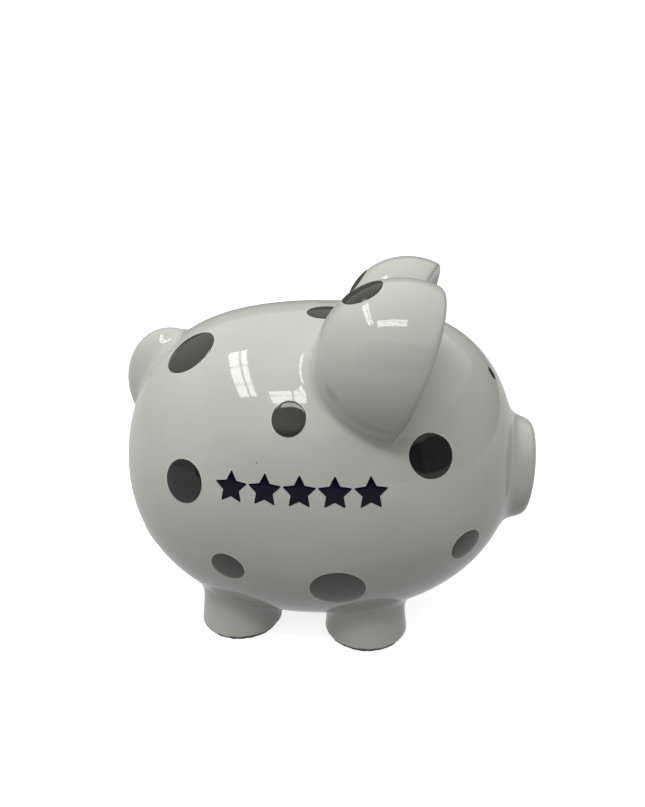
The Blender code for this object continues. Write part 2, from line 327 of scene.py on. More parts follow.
def surface_net(distance, low, high, step):
    """Quads around the zero surface of a distance, one vertex in each grid cell it crosses."""
    axes = [np.arange(low[i], high[i] + step, step) for i in range(3)]
    value = np.empty([len(axis) for axis in axes])
    for i, x in enumerate(axes[0]):
        y, z = np.meshgrid(axes[1], axes[2], indexing="ij")
        value[i] = distance(np.stack((np.full_like(y, x), y, z), -1))
    inside = value < 0
    corner = [(i, j, k) for i in (0, 1) for j in (0, 1) for k in (0, 1)]
    nx, ny, nz = (n - 1 for n in value.shape)
    count = sum(inside[i : i + nx, j : j + ny, k : k + nz].astype(np.int8) for i, j, k in corner)
    cells = np.argwhere((count > 0) & (count < 8))
    number = np.full((nx, ny, nz), -1)
    number[tuple(cells.T)] = np.arange(len(cells))
    total = np.zeros((len(cells), 3))
    crossings = np.zeros(len(cells))
    for a in corner:
        for axis in range(3):
            if a[axis]:
                continue
            b = tuple(v + (i == axis) for i, v in enumerate(a))
            value_a = value[tuple((cells + a).T)]
            value_b = value[tuple((cells + b).T)]
            crossed = (value_a < 0) != (value_b < 0)
            share = np.where(crossed, value_a / np.where(crossed, value_a - value_b, 1), 0)
            place = cells + np.array(a) + share[:, None] * np.eye(3)[axis]
            total += np.where(crossed[:, None], place, 0)
            crossings += crossed
    points = total / crossings[:, None] * step + [axis[0] for axis in axes]
    quads = []
    for axis in range(3):
        first = [slice(1, -1)] * 3
        second = [slice(1, -1)] * 3
        first[axis], second[axis] = slice(0, -1), slice(1, None)
        edge = np.argwhere(inside[tuple(first)] != inside[tuple(second)])
        edge += [0 if i == axis else 1 for i in range(3)]
        u, v = np.eye(3, dtype=int)[(axis + 1) % 3], np.eye(3, dtype=int)[(axis + 2) % 3]
        ring = [number[tuple((edge - shift).T)] for shift in (u + v, v, 0 * u, u)]
        quad = np.stack(ring, -1)
        outward = inside[tuple(edge.T)]
        quads.append(np.where(outward[:, None], quad, quad[:, ::-1]))
    return points, np.concatenate(quads)


def even_out(points, quads, distance, rounds=5):
    """Slides the points along the surface until they are evenly spread."""
    ends = np.concatenate([quads[:, [i, (i + 1) % 4]] for i in range(4)])
    count = np.bincount(ends[:, 0], minlength=len(points))[:, None]
    for _ in range(rounds):
        around = points[ends[:, 1]]
        total = [np.bincount(ends[:, 0], around[:, i], minlength=len(points)) for i in range(3)]
        normal = unit(gradient(distance, points))
        step = np.stack(total, -1) / count - points
        step -= (step * normal).sum(-1)[:, None] * normal
        points = settle(points + 0.6 * step, distance, rounds=1)
    return settle(points, distance, rounds=2)


class Skin:
    """Points with their normals, and faces, of one piece being put together."""

    def __init__(self, points=(), normals=(), faces=()):
        self.points = np.array(points, float).reshape(-1, 3)
        self.normals = np.array(normals, float).reshape(-1, 3)
        self.faces = [tuple(face) for face in faces]

    def add_points(self, points, normals):
        start = len(self.points)
        self.points = np.concatenate((self.points, points))
        self.normals = np.concatenate((self.normals, normals))
        return list(range(start, start + len(points)))

    def join(self, other):
        start = len(self.points)
        self.points = np.concatenate((self.points, other.points))
        self.normals = np.concatenate((self.normals, other.normals))
        self.faces += [tuple(start + i for i in face) for face in other.faces]
        return start

    def open_edges(self):
        """Directed edges that only one face uses."""
        used = set()
        for face in self.faces:
            used.update(zip(face, face[1:] + face[:1]))
        return [(a, b) for a, b in used if (b, a) not in used]

    def strip(self, ring_a, ring_b):
        """Quads between two closed rings of the same count."""
        count = len(ring_a)
        for i in range(count):
            j = (i + 1) % count
            self.faces.append((ring_a[i], ring_a[j], ring_b[j], ring_b[i]))

    def fan(self, ring, tip):
        """Triangles from a closed ring to one point."""
        for a, b in zip(ring, ring[1:] + ring[:1]):
            self.faces.append((a, b, tip))


def pick_faces(points, normals, quads, chosen):
    """A skin with only the chosen quads."""
    kept = quads[chosen]
    used, renumbered = np.unique(kept, return_inverse=True)
    return Skin(points[used], normals[used], renumbered.reshape(kept.shape).tolist())


def close_towards(skin, apex, edges):
    """Fills an opening with triangles that meet at one hidden point."""
    tip = skin.add_points([apex], [unit(np.array(apex) - skin.points[edges[0][0]])])[0]
    for a, b in edges:
        skin.faces.append((b, a, tip))


def edge_groups(edges):
    """Edges sorted into the separate openings they go around."""
    leader = {}

    def find(i):
        while leader.setdefault(i, i) != i:
            i = leader[i]
        return i

    for a, b in edges:
        leader[find(a)] = find(b)
    groups = {}
    for edge in edges:
        groups.setdefault(find(edge[0]), []).append(edge)
    return list(groups.values())


def slot_gap(points, middle_x, half_straight, radius):
    """Distance in plan from a round-ended slot along X, or from a round hole if it has no straight."""
    beyond = np.maximum(np.abs(points[..., 0] - middle_x) - half_straight, 0)
    return np.hypot(beyond, points[..., 1]) - radius


def slot_ring(middle_x, half_straight, radius, end_steps, side_steps):
    """Plan points round a slot, anticlockwise seen from above, and the outward direction at each."""
    places, outward = [], []
    for sign in (1, -1):
        for step in range(end_steps):
            turn = math.pi * (step / end_steps - 0.5) + (0 if sign > 0 else math.pi)
            aim = np.array((math.cos(turn), math.sin(turn)))
            places.append((middle_x + sign * half_straight, 0) + radius * aim)
            outward.append(aim)
        for step in range(side_steps):
            share = step / side_steps
            places.append((middle_x + sign * half_straight * (1 - 2 * share), sign * radius))
            outward.append((0.0, float(sign)))
    return np.array(places), np.array(outward)


def drop_onto(plan, distance, start_z, level=0.0):
    """Points straight above or below the plan points, on the surface."""
    points = np.column_stack((plan, np.full(len(plan), float(start_z))))
    for _ in range(12):
        slope = gradient(distance, points)[:, 2]
        points[:, 2] -= np.clip((distance(points) - level) / slope, -3, 3)
    return points


def loop_around(point, edges, places):
    """Whether a plan point lies inside the closed loops the edges make."""
    crossings = 0
    for a, b in edges:
        (ax, ay), (bx, by) = places[a], places[b]
        if (ay > point[1]) != (by > point[1]):
            crossings += point[0] < ax + (point[1] - ay) / (by - ay) * (bx - ax)
    return crossings % 2 == 1


def open_slot(skin, top, middle_x, half_straight, ring_points, ring_normals, clear_radius):
    """Takes away the faces around a slot and stitches the rest to the ring round it."""
    side = skin.points[:, 2] > BODY_AXIS_Z
    near = (slot_gap(skin.points, middle_x, half_straight, clear_radius) < 0) & (side == top)
    already_open = set(skin.open_edges())
    skin.faces = [face for face in skin.faces if not any(near[i] for i in face)]
    edges = [edge for edge in skin.open_edges() if edge not in already_open]
    ring = skin.add_points(ring_points, ring_normals)
    used = sorted({i for edge in edges for i in edge})
    names = used + ring
    order = {v: n for n, v in enumerate(names)}
    plan = [Vector(skin.points[v][:2]) for v in names]
    outer = [(order[a], order[b]) for a, b in edges]
    inner = [(order[a], order[b]) for a, b in zip(ring, ring[1:] + ring[:1])]
    found = delaunay_2d_cdt(plan, outer + inner, [], 0, 1e-5)
    places, triangles = found[0], found[2]
    source = [v[0] for v in found[3]]
    lookup = [tuple(v) for v in plan]
    ring_radius = slot_gap(ring_points[:1], middle_x, half_straight, 0.0)[0]
    for triangle in triangles:
        middle = sum((places[i] for i in triangle), Vector((0, 0))) / 3
        flat = np.array((middle.x, middle.y, 0))
        if slot_gap(flat, middle_x, half_straight, ring_radius - 0.01) < 0:
            continue
        if not loop_around(middle, outer, lookup):
            continue
        face = tuple(names[source[i]] for i in triangle)
        a, b, c = (skin.points[i] for i in face)
        if np.dot(np.cross(b - a, c - a), skin.normals[face[0]]) < 0:
            face = face[::-1]
        skin.faces.append(face)
    return ring


def rounded_rim(plan_ring, radius, edge, distance, start_z, level, steps, facing):
    """Rings of an edge that rounds from a surface into a slot's wall."""
    rings = []
    for step in range(steps + 1):
        turn = math.pi / 2 * step / steps
        plan, outward = plan_ring(radius + edge * (1 - math.sin(turn)))
        points = drop_onto(plan, distance, start_z, level)
        surface = unit(gradient(distance, points)) * facing
        wall = np.column_stack((-outward, np.zeros(len(outward))))
        points = points - surface * edge * (1 - math.cos(turn))
        rings.append((points, unit(surface * math.cos(turn) + wall * math.sin(turn))))
    return rings


def body_only(points):
    return body_distance(*axes_of(points))


INNER_EDGE = 0.8
OUTER_EDGE_STEPS = 6
INNER_EDGE_STEPS = 3
OUTER_CLEARANCE = 1.0
INNER_CLEARANCE = 3.0


def tunnel_strip(skin, first, second, top):
    """Quads along a tunnel's wall, facing into the tunnel."""
    if top:
        skin.strip(first, second)
    else:
        skin.strip(second, first)


def pierce(outer, inner, top, middle_x, half_straight, radius, outer_edge, counts):
    """A slot or hole through the wall, with rounded rims. Returns the two rings left to join."""

    def plan_ring(size):
        return slot_ring(middle_x, half_straight, size, *counts)

    start_outer = BODY_HIGH[2] if top else BELLY_FLAT_Z
    start_inner = start_outer + (-CASTING_WALL if top else CASTING_WALL)
    rim = rounded_rim(
        plan_ring, radius, outer_edge, bank_distance, start_outer, 0.0, OUTER_EDGE_STEPS, 1
    )
    lining = rounded_rim(
        plan_ring, radius, INNER_EDGE, body_only, start_inner, -CASTING_WALL, INNER_EDGE_STEPS, -1
    )
    clear = radius + outer_edge + OUTER_CLEARANCE
    last = open_slot(outer, top, middle_x, half_straight, *rim[0], clear)
    for points, normals in rim[1:] + lining[:0:-1]:
        ring = outer.add_points(points, normals)
        tunnel_strip(outer, last, ring, top)
        last = ring
    clear = radius + INNER_EDGE + INNER_CLEARANCE
    return last, open_slot(inner, top, middle_x, half_straight, *lining[0], clear)


# Materials.


def new_material(name):
    material = bpy.data.materials.new(name)
    material.use_nodes = True
    tree = material.node_tree
    return material, tree, tree.nodes["Principled BSDF"]


def node(tree, kind, **settings):
    made = tree.nodes.new(kind)
    for key, value in settings.items():
        setattr(made, key, value)
    return made


def set_inputs(made, values):
    for name, value in values.items():
        made.inputs[name].default_value = value


def place(tree):
    """The object's own coordinates, from one node that all the material's textures share."""
    where = tree.nodes.get("place") or node(tree, "ShaderNodeTexCoord")
    where.name = "place"
    return where.outputs["Object"]


def noise(tree, scale, detail=2.0, roughness=0.5):
    made = node(tree, "ShaderNodeTexNoise")
    set_inputs(made, {"Scale": scale, "Detail": detail, "Roughness": roughness})
    tree.links.new(place(tree), made.inputs["Vector"])
    return made.outputs["Fac"]


def ramp(tree, fac, stops):
    made = node(tree, "ShaderNodeValToRGB")
    while len(made.color_ramp.elements) < len(stops):
        made.color_ramp.elements.new(0.5)
    for element, (position, color) in zip(made.color_ramp.elements, stops):
        element.position = position
        element.color = (*color, 1.0)
    tree.links.new(fac, made.inputs["Fac"])
    return made.outputs["Color"]


def map_range(tree, value, low, high, to_low=0.0, to_high=1.0):
    made = node(tree, "ShaderNodeMapRange")
    set_inputs(made, {"From Min": low, "From Max": high, "To Min": to_low, "To Max": to_high})
    tree.links.new(value, made.inputs["Value"])
    return made.outputs["Result"]


def combine(tree, kind, *values, **settings):
    """The output of a node that has the values linked to its first inputs."""
    made = node(tree, kind, **settings)
    for socket, value in zip(made.inputs, values):
        tree.links.new(value, socket)
    return made.outputs[0]


def math_node(tree, operation, *values):
    return combine(tree, "ShaderNodeMath", *values, operation=operation)


def mix_colors(tree, fac, first, second):
    made = node(tree, "ShaderNodeMix", data_type="RGBA")
    tree.links.new(fac, made.inputs[0])
    for socket, value in ((made.inputs[6], first), (made.inputs[7], second)):
        if isinstance(value, tuple):
            socket.default_value = (*value, 1.0)
        else:
            tree.links.new(value, socket)
    return made.outputs[2]


def bump(tree, shader, layers):
    """Layers of (height, distance in mm), one over the other."""
    normal = None
    for height, depth in layers:
        made = node(tree, "ShaderNodeBump")
        set_inputs(made, {"Strength": 1.0, "Distance": depth * MM})
        tree.links.new(height, made.inputs["Height"])
        if normal:
            tree.links.new(normal, made.inputs["Normal"])
        normal = made.outputs["Normal"]
    tree.links.new(normal, shader.inputs["Normal"])


def uneven_roughness(tree, shader, scale, low, high, detail=3.0):
    """Roughness that drifts between two values, over the middle of a noise's range."""
    drift = map_range(tree, noise(tree, scale, detail), 0.3, 0.7, low, high)
    tree.links.new(drift, shader.inputs["Roughness"])


def rippled(tree, shader, fine_scale, fine_detail, fine_depth):
    """The casting's slow ripple, which its paint and vinyl share, under a finer relief."""
    ripple = noise(tree, RIPPLE_SCALE, 1.0)
    bump(tree, shader, [(ripple, RIPPLE_DEPTH), (noise(tree, fine_scale, fine_detail), fine_depth)])


def specks(tree, scale, size, share):
    """1 inside small scattered spots, 0 elsewhere."""
    cells = node(tree, "ShaderNodeTexVoronoi")
    cells.inputs["Scale"].default_value = scale
    tree.links.new(place(tree), cells.inputs["Vector"])
    spot = map_range(tree, cells.outputs["Distance"], size, size * 0.6)
    split = node(tree, "ShaderNodeSeparateColor")
    tree.links.new(cells.outputs["Color"], split.inputs["Color"])
    chosen = map_range(tree, split.outputs[0], share, share * 0.98)
    return math_node(tree, "MULTIPLY", spot, chosen)


RIPPLE_SCALE = 24.0
RIPPLE_DEPTH = 0.16
GLAZE_IOR = 1.52
VINYL_IOR = 1.30
RUBBER_IOR = 1.48


def white_glaze():
    """Slightly uneven white, browner where it has run thin, with a few dark specks."""
    material, tree, shader = new_material("white_glaze")
    stops = [(0.35, (0.770, 0.770, 0.745)), (0.65, (0.815, 0.815, 0.792))]
    tone = ramp(tree, noise(tree, 22.0, 3.0), stops)
    thin = node(tree, "ShaderNodeAttribute", attribute_name="thin_glaze").outputs["Fac"]
    tone = mix_colors(tree, thin, tone, (0.44, 0.36, 0.27))
    tone = mix_colors(tree, specks(tree, 95.0, 0.045, 0.05), tone, (0.10, 0.08, 0.06))
    tree.links.new(tone, shader.inputs["Base Color"])
    uneven_roughness(tree, shader, 60.0, 0.030, 0.060)
    set_inputs(shader, {"IOR": GLAZE_IOR})
    rippled(tree, shader, 420.0, 2.0, 0.0015)
    return material


def painted_glaze(name, color):
    """One brushed colour that pools a little lighter in places."""
    material, tree, shader = new_material(name)
    lighter = tuple(min(1.0, c * 1.25 + 0.004) for c in color)
    tone = ramp(tree, noise(tree, 120.0, 4.0, 0.6), [(0.38, color), (0.66, lighter)])
    tree.links.new(tone, shader.inputs["Base Color"])
    uneven_roughness(tree, shader, 90.0, 0.035, 0.085)
    set_inputs(shader, {"IOR": GLAZE_IOR})
    rippled(tree, shader, 300.0, 3.0, 0.003)
    return material


def navy_vinyl():
    material, tree, shader = new_material("navy_vinyl")
    stops = [(0.3, (0.0008, 0.001, 0.014)), (0.7, (0.0012, 0.0016, 0.022))]
    tree.links.new(ramp(tree, noise(tree, 150.0, 3.0), stops), shader.inputs["Base Color"])
    uneven_roughness(tree, shader, 200.0, 0.10, 0.18)
    set_inputs(shader, {"IOR": VINYL_IOR})
    rippled(tree, shader, 900.0, 3.0, 0.004)
    return material


def grey_felt():
    material, tree, shader = new_material("grey_felt")
    stops = [(0.25, (0.10, 0.098, 0.095)), (0.5, (0.27, 0.265, 0.26)), (0.78, (0.50, 0.49, 0.48))]
    tree.links.new(ramp(tree, noise(tree, 1400.0, 6.0, 0.75), stops), shader.inputs["Base Color"])
    set_inputs(shader, {"Roughness": 0.95, "Sheen Weight": 0.35, "Sheen Roughness": 0.5})
    bump(tree, shader, [(noise(tree, 1100.0, 6.0, 0.8), 0.25), (noise(tree, 260.0, 3.0), 0.2)])
    return material


def milky_rubber():
    material, tree, shader = new_material("plug_rubber")
    stops = [(0.3, (0.66, 0.67, 0.65)), (0.7, (0.73, 0.74, 0.72))]
    tree.links.new(ramp(tree, noise(tree, 70.0, 3.0), stops), shader.inputs["Base Color"])
    uneven_roughness(tree, shader, 260.0, 0.38, 0.55, 4.0)
    set_inputs(shader, {"IOR": RUBBER_IOR, "Subsurface Weight": 0.35, "Subsurface Scale": 1.0})
    set_inputs(shader, {"Subsurface Radius": (0.004, 0.004, 0.004)})
    bump(tree, shader, [(noise(tree, 700.0, 3.0), 0.02)])
    return material


MATERIALS = {
    "white_glaze": white_glaze(),
    # The near-white paint on the next line is lighter than the body's white glaze: a painted highlight
    # for the thin rings round the dots.
    "painted_rim_highlight": painted_glaze("painted_rim_highlight", (0.76, 0.76, 0.74)),
    "grey_paint": painted_glaze("grey_paint", (0.052, 0.056, 0.049)),
    "charcoal_paint": painted_glaze("charcoal_paint", (0.0125, 0.013, 0.0145)),
    "black_paint": painted_glaze("black_paint", (0.006, 0.006, 0.006)),
    "navy_vinyl": navy_vinyl(),
    "grey_felt": grey_felt(),
    "plug_rubber": milky_rubber(),
}


def add_piece(name, skin, material, body="bank", replaces=(), thin=None):
    """Makes the skin a Blender object. Thin says at each point how thin the glaze has run."""
    mesh = bpy.data.meshes.new(name)
    mesh.from_pydata((skin.points * MM).tolist(), [], skin.faces)
    mesh.polygons.foreach_set("use_smooth", np.ones(len(mesh.polygons), bool))
    mesh.normals_split_custom_set_from_vertices(unit(skin.normals).tolist())
    mesh.materials.append(MATERIALS[material])
    if thin is not None:
        layer = mesh.attributes.new("thin_glaze", "FLOAT", "POINT")
        layer.data.foreach_set("value", thin.astype(np.float32))
    piece = bpy.data.objects.new(name, mesh)
    bpy.context.scene.collection.objects.link(piece)
    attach(piece, body)
    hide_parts(*replaces)


# The castings.

EAR_BAND_DEPTH = 1.0
EAR_BAND_HALF_WIDTH = 1.2
EAR_SKIN_DEPTH = 0.3
EAR_BAND_CLEARANCE = 4.0
EAR_THINNESS = 0.10
SLOT_BAND_MIDDLE = 0.3
SLOT_BAND_HALF_WIDTH = 0.9
SLOT_THINNESS = 0.75


def thin_glaze(points):
    """How thin the glaze has run, in a narrow band along the ears' rims, clear of the body."""
    x, y, z = points[..., 0], np.abs(points[..., 1]), points[..., 2]
    local = (np.stack((x, y, z), -1) - EAR_MIDDLE) @ EAR_AXES
    dome = ellipsoid_distance(*axes_of(local), EAR_RADII)
    band = np.clip(1 - np.abs(dome + EAR_BAND_DEPTH) / EAR_BAND_HALF_WIDTH, 0, 1)
    on_ear = ear_distance(x, y, z) < EAR_SKIN_DEPTH
    return EAR_THINNESS * band * on_ear * (body_distance(x, y, z) > EAR_BAND_CLEARANCE)


LINING_STEP = 2.7 * GRID_STEP
LINING_MARGIN = 2


def lining_skin():
    """The inner face of the body's wall, facing into the hollow."""

    def hollow(points):
        return body_only(points) + CASTING_WALL

    low, high = BODY_LOW - LINING_MARGIN, BODY_HIGH + LINING_MARGIN
    points, quads = surface_net(hollow, low, high, LINING_STEP)
    points = even_out(points, quads, hollow, rounds=3)
    return Skin(points, -unit(gradient(hollow, points)), quads[:, ::-1].tolist())


SLOT_OPENING = opening_mm("coin_slot")
SLOT_MIDDLE_X = SLOT_OPENING[:, 0].mean()
SLOT_WIDTH = 5.0
SLOT_HALF_STRAIGHT = (SLOT_OPENING[1, 0] - SLOT_OPENING[0, 0]) / 2
SLOT_EDGE = 1.4
PLUG_LOW, PLUG_HIGH = box_mm("belly_stopper")
PLUG_FLANGE_RADIUS = (PLUG_HIGH[1] - PLUG_LOW[1]) / 2
PLUG_X = PLUG_HIGH[0] - PLUG_FLANGE_RADIUS
HOLE_RADIUS = 17.0
HOLE_EDGE = 1.0

# How far the castings' grid reaches past the body, and how deep the hidden caps lie.
GRID_MARGIN_LOW = 20
GRID_MARGIN_HIGH = 24
PART_CAP_LEVEL = -0.3
BODY_CAP_LEVEL = -1.0


def close_openings(skin, level):
    """Caps each opening towards a point under its middle, at a level of the body's distance."""
    for edges in edge_groups(skin.open_edges()):
        middle = skin.points[[a for a, _ in edges]].mean(0)
        close_towards(skin, settle(middle[None], body_only, level)[0], edges)


def part_choices(middles):
    """Which faces belong to each part but the body, and which to the body."""
    body, snout, tail, ear, leg = (
        np.argmin(np.stack(part_distances(middles)), 0) == number for number in range(5)
    )
    left = middles[:, 1] > 0
    front = middles[:, 0] > LEGS_MIDDLE_X
    sides = (("left", left), ("right", ~left))
    parts = {"snout": snout, "tail": tail}
    for side, on_side in sides:
        parts["ear_" + side] = ear & on_side
    for end, at_end in (("front", front), ("rear", ~front)):
        for side, on_side in sides:
            parts[f"leg_{end}_{side}"] = leg & at_end & on_side
    return parts, body


def build_castings():
    low = BODY_LOW - GRID_MARGIN_LOW
    high = BODY_HIGH + GRID_MARGIN_HIGH
    low[2] = LEG_SOLE_Z - 3 * GRID_STEP
    points, quads = surface_net(bank_distance, low, high, GRID_STEP)
    points = even_out(points, quads, bank_distance)
    normals = unit(gradient(bank_distance, points, 0.02))
    parts, on_body = part_choices(points[quads].mean(1))
    for name, chosen in parts.items():
        skin = pick_faces(points, normals, quads, chosen)
        close_openings(skin, PART_CAP_LEVEL)
        add_piece(name, skin, "white_glaze", replaces=(name,), thin=thin_glaze(skin.points))
    body = pick_faces(points, normals, quads, on_body)
    close_openings(body, BODY_CAP_LEVEL)
    inner = lining_skin()
    slot = (True, SLOT_MIDDLE_X, SLOT_HALF_STRAIGHT, SLOT_WIDTH / 2, SLOT_EDGE, (14, 14))
    hole = (False, PLUG_X, 0.0, HOLE_RADIUS, HOLE_EDGE, (36, 0))
    tunnels = [(pierce(body, inner, *shape), shape[0]) for shape in (slot, hole)]
    start = body.join(inner)
    for (last, inner_ring), top in tunnels:
        tunnel_strip(body, last, [start + i for i in inner_ring], top)
    in_slot = slot_gap(body.points, SLOT_MIDDLE_X, SLOT_HALF_STRAIGHT, SLOT_WIDTH / 2)
    rim = np.clip(1 - np.abs(in_slot - SLOT_BAND_MIDDLE) / SLOT_BAND_HALF_WIDTH, 0, 1)
    rim = SLOT_THINNESS * rim * (body.points[:, 2] > BODY_AXIS_Z)
    thin = np.maximum(thin_glaze(body.points), rim)
    add_piece("body", body, "white_glaze", replaces=("body_shell",), thin=thin)


build_castings()


# Painted dots and other thin layers that follow the glaze.


def outline_oval(across, along, wobble, seed, count=72):
    """Plan points of a hand-painted oval, anticlockwise."""
    random = np.random.default_rng(seed)
    angle = np.arange(count) * math.tau / count
    drift = np.ones(count)
    for waves in (2, 3, 4, 5):
        drift += wobble / waves * random.normal() * np.cos(waves * angle + random.uniform(0, math.tau))
    return np.column_stack((across * np.cos(angle) * drift, along * np.sin(angle) * drift))


STAR_INNER_SHARE = 0.5


def outline_star(radius, count=200):
    """Plan points of a five-pointed star with softened corners, first point up."""
    angle = np.arange(count) * math.tau / count
    fold = np.abs((angle + math.pi / 5) % (math.tau / 5) - math.pi / 5)
    inner, sweep = radius * STAR_INNER_SHARE, math.pi / 5
    reach = radius * inner * math.sin(sweep) / (radius * np.sin(fold) + inner * np.sin(sweep - fold))
    plan = reach[:, None] * np.column_stack((-np.sin(angle), np.cos(angle)))
    for _ in range(2):
        plan = (np.roll(plan, 1, 0) + 2 * plan + np.roll(plan, -1, 0)) / 4
    return plan


LAYER_SINK = 0.6
LAYER_RING_SPACING = 1.8


def layer_skin(centre, outline, profile):
    """A closed thin layer on the bank. The profile lists distance in from the edge and height."""
    centre = settle(np.array(centre, float)[None])[0]
    normal = unit(gradient(bank_distance, centre[None]))[0]
    right = unit(np.cross(UP, normal))
    up = np.cross(normal, right)
    ahead = np.roll(outline, -1, 0) - np.roll(outline, 1, 0)
    outward = unit(np.column_stack((ahead[:, 1], -ahead[:, 0])))
    rings = [(outline, -LAYER_SINK, None)]
    slopes = np.gradient([h for _, h in profile], [d for d, _ in profile])
    for (inset, height), slope in zip(profile, slopes):
        rings.append((outline - inset * outward, height, slope))
    last, top_height = rings[-1][:2]
    inner_rings = max(3, int(np.linalg.norm(outline, axis=1).max() / LAYER_RING_SPACING))
    for share in np.linspace(1, 0, inner_rings + 1)[1:-1]:
        rings.append((last * share, top_height, 0.0))
    skin = Skin()
    indices = []
    for plan, height, slope in rings:
        base = settle(centre + plan[:, :1] * right + plan[:, 1:] * up)
        surface = unit(gradient(bank_distance, base))
        away = outward[:, :1] * right + outward[:, 1:] * up
        away = unit(away - (away * surface).sum(-1)[:, None] * surface)
        facing = away if slope is None else surface + slope * away
        indices.append(skin.add_points(base + height * surface, unit(facing)))
    for first, second in zip(indices, indices[1:]):
        skin.strip(first, second)
    skin.fan(indices[-1], skin.add_points([centre + top_height * normal], [normal])[0])
    skin.fan(indices[0][::-1], skin.add_points([centre - LAYER_SINK * normal], [-normal])[0])
    return skin


PAINT_PROFILE = [
    (0.0, 0.0), (0.05, 0.10), (0.15, 0.18), (0.4, 0.24),
    (0.9, 0.29), (1.6, 0.33), (2.4, 0.36), (3.4, 0.38),
]
EYE_PROFILE = PAINT_PROFILE[:6]
# The rings round the dots are a painted highlight along their raised edges, in a paint lighter than
# the white glaze.
RIM_PROFILE = [(0.0, 0.0), (0.15, 0.05), (0.35, 0.07), (0.6, 0.07)]
RIM_WIDTH = 0.55
NOSTRIL_PROFILE = [(0.0, 0.10), (0.15, 0.35), (0.4, 0.50), (0.8, 0.55)]
FILM_PROFILE = [(0.0, 0.10), (0.03, 0.16), (0.10, 0.19), (0.25, 0.20)]

# Dots on the right flank and back, then on the left flank, front and rump. Each line is
# the name, a point near its middle, its half-sizes and its paint.
DOTS = [
    ("dot_rump_right", (-67.7, -40.8, 168.8), (14.4, 15.3), "grey_paint"),
    ("dot_hip_right", (-60.2, -82.9, 111.8), (11.2, 11.5), "charcoal_paint"),
    ("dot_flank_right", (-6.5, -78.6, 145.8), (8.5, 9.1), "grey_paint"),
    ("dot_cheek_right", (61.9, -73.5, 128.3), (11.5, 11.3), "charcoal_paint"),
    ("dot_haunch_right", (-39.4, -84.0, 65.6), (9.3, 9.5), "grey_paint"),
    ("dot_belly_right", (17.5, -80.7, 55.0), (14.7, 14.7), "grey_paint"),
    ("dot_jowl_right", (81.7, -62.9, 76.0), (9.4, 9.5), "grey_paint"),
    ("dot_back", (3.5, -21.3, 189.2), (10.8, 8.6), "grey_paint"),
    ("dot_ear_right", (26.7, -68.2, 206.2), (12.0, 10.5), "grey_paint"),
    ("dot_ear_left", (8.6, 59.8, 197.5), (11.0, 10.0), "grey_paint"),
    ("dot_rump_left", (-74.0, 46.0, 150.0), (12.5, 12.0), "charcoal_paint"),
    ("dot_hip_left", (-52.0, 86.0, 92.0), (14.0, 13.6), "grey_paint"),
    ("dot_flank_left", (-8.0, 84.0, 138.0), (11.8, 12.0), "charcoal_paint"),
    ("dot_middle_left", (14.0, 90.0, 88.0), (9.4, 9.2), "grey_paint"),
    ("dot_cheek_left", (64.0, 74.0, 122.0), (10.6, 10.8), "grey_paint"),
    ("dot_belly_left", (-10.0, 80.0, 50.0), (10.4, 10.0), "charcoal_paint"),
    ("dot_jowl_left", (78.0, 62.0, 70.0), (11.6, 11.2), "charcoal_paint"),
    ("dot_rump_low", (-104.0, 12.0, 82.0), (12.6, 12.2), "grey_paint"),
    ("dot_seat", (-92.0, -38.0, 62.0), (8.8, 9.0), "charcoal_paint"),
    ("dot_forehead", (70.0, 32.0, 156.0), (9.6, 9.2), "charcoal_paint"),
    ("dot_chin", (84.0, 6.0, 42.0), (9.8, 9.4), "grey_paint"),
]


DOT_WOBBLE = 0.012


def build_dots():
    """Each dot's seed is its place in the list."""
    for seed, (name, middle, (across, along), paint) in enumerate(DOTS):
        outline = outline_oval(across, along, DOT_WOBBLE, seed)
        add_piece(name, layer_skin(middle, outline, PAINT_PROFILE), paint)
        # A thin ring just wider than each dot, in a paint lighter than the white glaze: a painted
        # highlight along the dot's raised edge.
        wider = outline * (1 + RIM_WIDTH / min(across, along))
        add_piece(name + "_rim", layer_skin(middle, wider, RIM_PROFILE), "painted_rim_highlight")


EYE_MIDDLE = np.array((93.6, 16.3, 155.3))
EYE_HALF_SIZES = (3.2, 3.9)
EYE_WOBBLE = 0.01
EYE_SEED = 40
NOSTRIL_HALF_SIZES = (NOSTRIL_RADII[1] - 0.4, NOSTRIL_RADII[2] - 0.6)
NOSTRIL_WOBBLE = 0.015
NOSTRIL_SEED = 44
SMALL_OVAL_POINTS = 48


def build_face():
    for side, word in ((1, "left"), (-1, "right")):
        outline = outline_oval(*EYE_HALF_SIZES, EYE_WOBBLE, EYE_SEED + side, SMALL_OVAL_POINTS)
        middle = EYE_MIDDLE * (1, side, 1)
        add_piece("eye_" + word, layer_skin(middle, outline, EYE_PROFILE), "black_paint")
        seed = NOSTRIL_SEED + side
        outline = outline_oval(*NOSTRIL_HALF_SIZES, NOSTRIL_WOBBLE, seed, SMALL_OVAL_POINTS)
        skin = layer_skin(SNOUT_FRONT + (0, side * NOSTRIL_SPACING / 2, 0), outline, NOSTRIL_PROFILE)
        add_piece("nostril_paint_" + word, skin, "charcoal_paint")


def build_stars():
    for number in range(1, 6):
        node_name = "decal_star_" + str(number)
        low, high = box_mm(node_name)
        radius = (high[2] - low[2]) / (1 + math.cos(math.pi / 5))
        middle = (low + high) / 2
        middle[2] = high[2] - radius
        skin = layer_skin(middle, outline_star(radius), FILM_PROFILE)
        name = "vinyl_star_" + str(number)
        add_piece(name, skin, "navy_vinyl", replaces=(node_name,))


